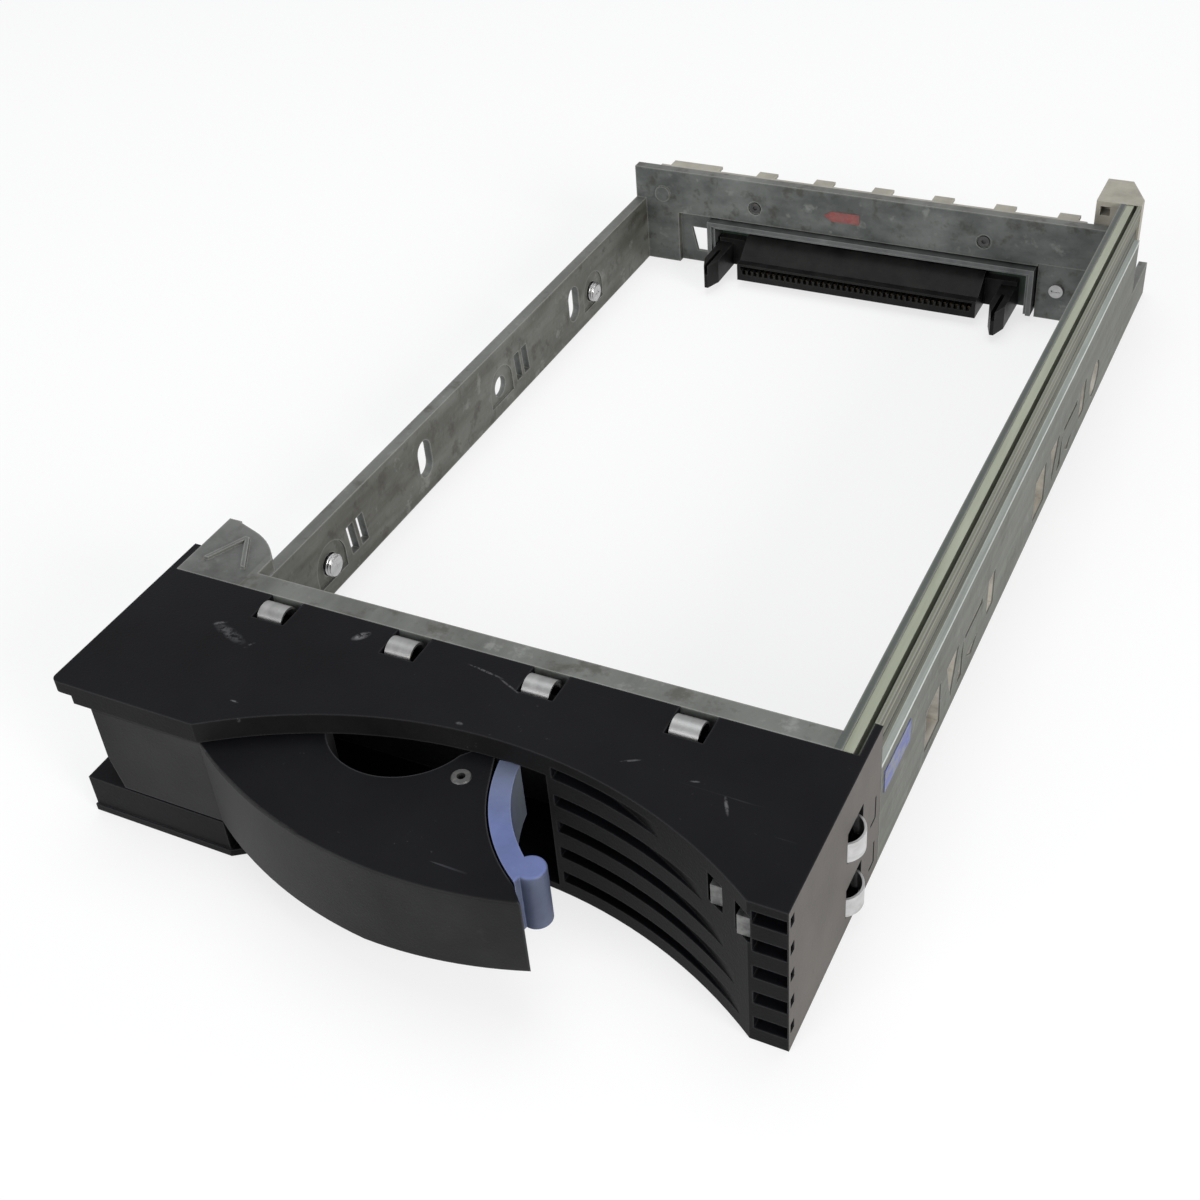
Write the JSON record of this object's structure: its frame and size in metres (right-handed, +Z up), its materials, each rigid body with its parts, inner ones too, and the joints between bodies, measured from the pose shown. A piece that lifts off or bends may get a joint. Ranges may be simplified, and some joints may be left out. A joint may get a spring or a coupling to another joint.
{
  "type": "hot swap drive caddy",
  "caption": "Slim open tray for a hard drive with a louvred bezel, a bulging swing handle with a sprung latch, light pipes and a rear connector.",
  "frame": {"origin": "middle of the footprint, on the surface that the caddy lies on", "axes": "+X to the right as seen from the bezel, +Y from the bezel to the rear connector, +Z up"},
  "size_m": [0.1124, 0.2162, 0.0267],
  "materials": {
    "cast_metal": "satin, as cast",
    "black_plastic": "fine grain",
    "blue_plastic": "smooth",
    "steel": "satin",
    "spring_steel": "bright",
    "clear_plastic": "clear, polished",
    "pale_plastic": "smooth",
    "connector_plastic": "smooth",
    "board": "varnished",
    "bracket_plate": "plated",
    "contact_metal": "plated",
    "blue_patch": "plain film",
    "red_patch": "plain film"
  },
  "bodies": {
    "tray": {"tray_frame": "cast_metal", "bezel": "black_plastic", "hub_pin": "steel", "top_clip_1": "spring_steel", "top_clip_2": "spring_steel", "top_clip_3": "spring_steel", "top_clip_4": "spring_steel", "side_clip_1": "spring_steel", "side_clip_2": "spring_steel", "light_pipe_upper": "clear_plastic", "light_pipe_lower": "clear_plastic", "light_pipe_holder": "pale_plastic", "adapter_board": "board", "connector_bracket": "bracket_plate", "drive_receptacle": "connector_plastic", "receptacle_contacts": "contact_metal", "backplane_plug": "connector_plastic", "plug_contacts": "contact_metal", "bracket_screw": "steel", "board_rivet_1": "steel", "board_rivet_2": "steel", "drive_screw_1": "steel", "drive_screw_2": "steel", "drive_screw_3": "steel", "drive_screw_4": "steel", "rear_tab_strip": "pale_plastic", "side_label": "blue_patch", "front_tag": "blue_patch", "marker_arrow": "red_patch"},
    "handle": {"handle_lever": "black_plastic", "latch_rivet": "steel", "latch_spring": "steel"},
    "latch": {"release_latch": "blue_plastic"}
  },
  "joints": [
    {"name": "handle_hinge", "type": "hinge", "parent": "tray", "child": "handle", "pos_m": [-0.0462, -0.09185, 0.0148], "axis": [0, 0, -1], "range_deg": [0, 70]},
    {"name": "latch_hinge", "type": "hinge", "parent": "handle", "child": "latch", "pos_m": [0.0057, -0.08955, 0.0177], "axis": [0, 0, 1], "range_deg": [0, 8], "stiffness_Nm_per_rad": 0.02}
  ]
}
